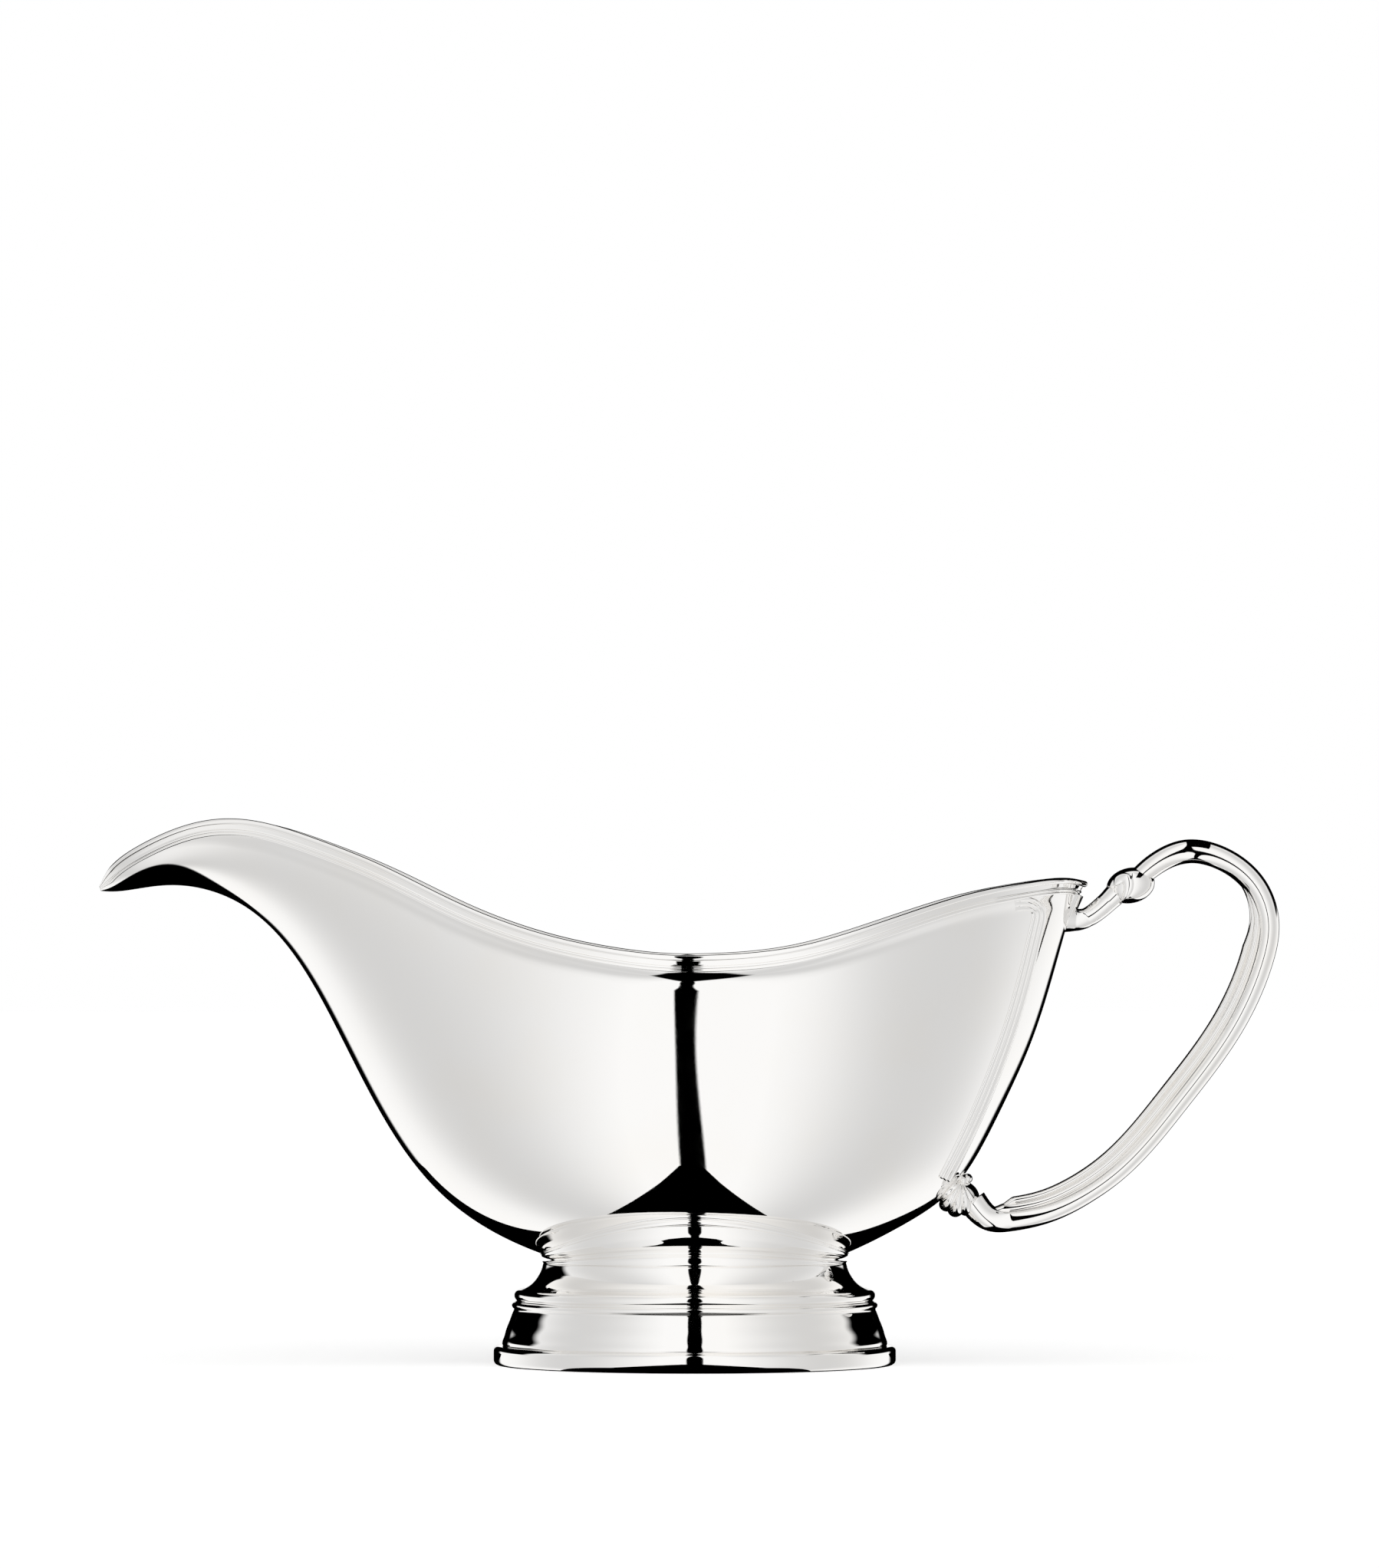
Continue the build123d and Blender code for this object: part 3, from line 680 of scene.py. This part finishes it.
def studio():
    """A plain white studio as seen by the silver: a broad even tent with a dark slit at its front, the
    table's dark edge under it, and dark cards at the back. Seen directly it is plain white."""
    world = bpy.data.worlds.new("studio")
    bpy.context.scene.world = world
    world.use_nodes = True
    nodes, links = world.node_tree.nodes, world.node_tree.links
    nodes.clear()

    def math(operation, *inputs, clamp=False):
        node = nodes.new("ShaderNodeMath")
        node.operation, node.use_clamp = operation, clamp
        for i, value in enumerate(inputs):
            if isinstance(value, (int, float)):
                node.inputs[i].default_value = value
            else:
                links.new(value, node.inputs[i])
        return node.outputs[0]

    def fade(value, start, end, from_value=0.0, to_value=1.0):
        node = nodes.new("ShaderNodeMapRange")
        node.interpolation_type = "SMOOTHSTEP"
        node.inputs["From Min"].default_value, node.inputs["From Max"].default_value = start, end
        node.inputs["To Min"].default_value, node.inputs["To Max"].default_value = from_value, to_value
        links.new(value, node.inputs["Value"])
        return node.outputs["Result"]

    def levels(value, stops):
        """A smooth grey ramp through (position, level) stops."""
        node = nodes.new("ShaderNodeValToRGB")
        node.color_ramp.interpolation = "B_SPLINE"
        links.new(value, node.inputs["Fac"])
        marks = node.color_ramp.elements
        for mark, (position, level) in zip((marks[0], marks[1]), (stops[0], stops[-1])):
            mark.position, mark.color = position, (level, level, level, 1)
        for position, level in stops[1:-1]:
            marks.new(position).color = (level, level, level, 1)
        return node.outputs["Color"]

    place = nodes.new("ShaderNodeTexCoord")
    split = nodes.new("ShaderNodeSeparateXYZ")
    links.new(place.outputs["Generated"], split.inputs[0])
    dx, dy, dz = split.outputs
    across = math("ABSOLUTE", dx)
    azimuth = math("ARCTAN2", across, math("MULTIPLY", dy, -1.0))     # 0 at the front
    level = levels(math("DIVIDE", azimuth, pi), [(angle / 180, bright) for angle, bright in TENT])

    half = math("MULTIPLY", levels(math("MULTIPLY", dz, -1.0), SLIT_SHAPE), radians(SLIT_WIDEST))
    slit = fade(math("SUBTRACT", azimuth, half), radians(-0.4), radians(0.4))
    behind = math("ARCCOSINE", dy)
    near_edge = fade(behind, radians(RING[0] - 2), radians(RING[0] + 2), 1.0, 0.0)
    far_edge = fade(behind, radians(RING[1] - 4), radians(RING[1] + 4))
    far_top = fade(behind, radians(BACK_TOP - 5), radians(BACK_TOP + 5))
    level = math("MULTIPLY", level, math("MULTIPLY", slit, math("MAXIMUM", near_edge, far_edge)))

    # Straight down and in front, the table is dark between the two sides of the tent.
    down = math("MAXIMUM", math("MULTIPLY", dz, -1.0), 0.02)
    room = math("MULTIPLY", math("ADD", math("DIVIDE", dy, down), TABLE_APEX), TABLE_SPREAD)
    past = math("SUBTRACT", math("DIVIDE", across, down), room)
    lit = math("MAXIMUM", fade(past, -0.02, 0.02), fade(dz, -0.30, -0.20))
    # High up at the back it is dark too.
    high = math("MULTIPLY", fade(dz, 0.08, 0.16), math("SUBTRACT", 1.0, far_top))
    dark = math("MULTIPLY", high, math("SUBTRACT", 1.0, near_edge))
    lit = math("MULTIPLY", lit, math("SUBTRACT", 1.0, dark))
    level = math("MULTIPLY", level, lit)

    seen = nodes.new("ShaderNodeLightPath").outputs["Is Camera Ray"]
    mix = nodes.new("ShaderNodeMix")
    mix.data_type = "FLOAT"
    links.new(seen, mix.inputs["Factor"])
    links.new(level, mix.inputs["A"])
    mix.inputs["B"].default_value = BACKDROP
    light = nodes.new("ShaderNodeBackground")
    links.new(mix.outputs["Result"], light.inputs["Color"])
    out = nodes.new("ShaderNodeOutputWorld")
    links.new(light.outputs[0], out.inputs["Surface"])


studio()


def plain(name, colour, glow):
    """A plain matt surface for the studio."""
    material = bpy.data.materials.new(name)
    material.use_nodes = True
    shader = material.node_tree.nodes["Principled BSDF"]
    shader.inputs["Base Color"].default_value = (*colour, 1)
    shader.inputs["Roughness"].default_value = 0.9
    shader.inputs["Specular IOR Level"].default_value = 0.0
    shader.inputs["Emission Color"].default_value = (1, 1, 1, 1)
    shader.inputs["Emission Strength"].default_value = glow
    return material


def card(name, outline, height, material):
    """A flat card over the table, seen only in the silver."""
    mesh = bpy.data.meshes.new(name)
    mesh.from_pydata([(x * MM, y * MM, height * MM) for x, y in outline], [], [tuple(range(len(outline)))])
    mesh.materials.append(material)
    piece = bpy.data.objects.new(name, mesh)
    bpy.context.scene.collection.objects.link(piece)
    piece.visible_camera = piece.visible_diffuse = piece.visible_shadow = False


black = plain("black_card", (0, 0, 0), 0.0)
# Painted shade: a black card laid over the pale floor under and behind the bowl, seen only in the silver,
# stands in for the shade round the foot; as its right-hand edge, in mm
PAINTED_SHADE_EDGE = [(4, -57), (10, -47), (23, -28), (41, -2), (100, 62), (135, 180), (420, 700), (420, 2000)]
HANDLE_CARD = [(100, -30), (114, -30), (114, 9), (100, 9)]
PAINTED_SHADE_HEIGHT, HANDLE_CARD_HEIGHT = 0.2, 130
card("painted_shade_card", PAINTED_SHADE_EDGE + [(-x, y) for x, y in PAINTED_SHADE_EDGE[::-1]], PAINTED_SHADE_HEIGHT, black)
card("handle_top_card", HANDLE_CARD, HANDLE_CARD_HEIGHT, black)

FLOOR_SIZE, FLOOR_GAP = 12, 0.2 * MM
bpy.ops.mesh.primitive_plane_add(size=FLOOR_SIZE, location=(0, 0, -FLOOR_GAP))
floor = bpy.context.object
floor.name = "floor"
floor.data.materials.append(plain("pale_floor", (0.9, 0.9, 0.9), 0.6))
floor.visible_glossy = False
bpy.context.scene.view_settings.view_transform = "Standard"

# ---------------------------------------------------------------- camera
LENS_MM = 176.0
EYE_HEIGHT = 90.1 * MM
EYE_DISTANCE = 1.557
PITCH = radians(1.02)
camera = bpy.data.objects.new("camera", bpy.data.cameras.new("camera"))
camera.data.lens = LENS_MM
camera.data.sensor_width = 36.0
camera.data.clip_end = 50
camera.location = (0, -EYE_DISTANCE, EYE_HEIGHT)
camera.rotation_euler = (pi / 2 + PITCH, 0, 0)
bpy.context.scene.collection.objects.link(camera)
bpy.context.scene.camera = camera
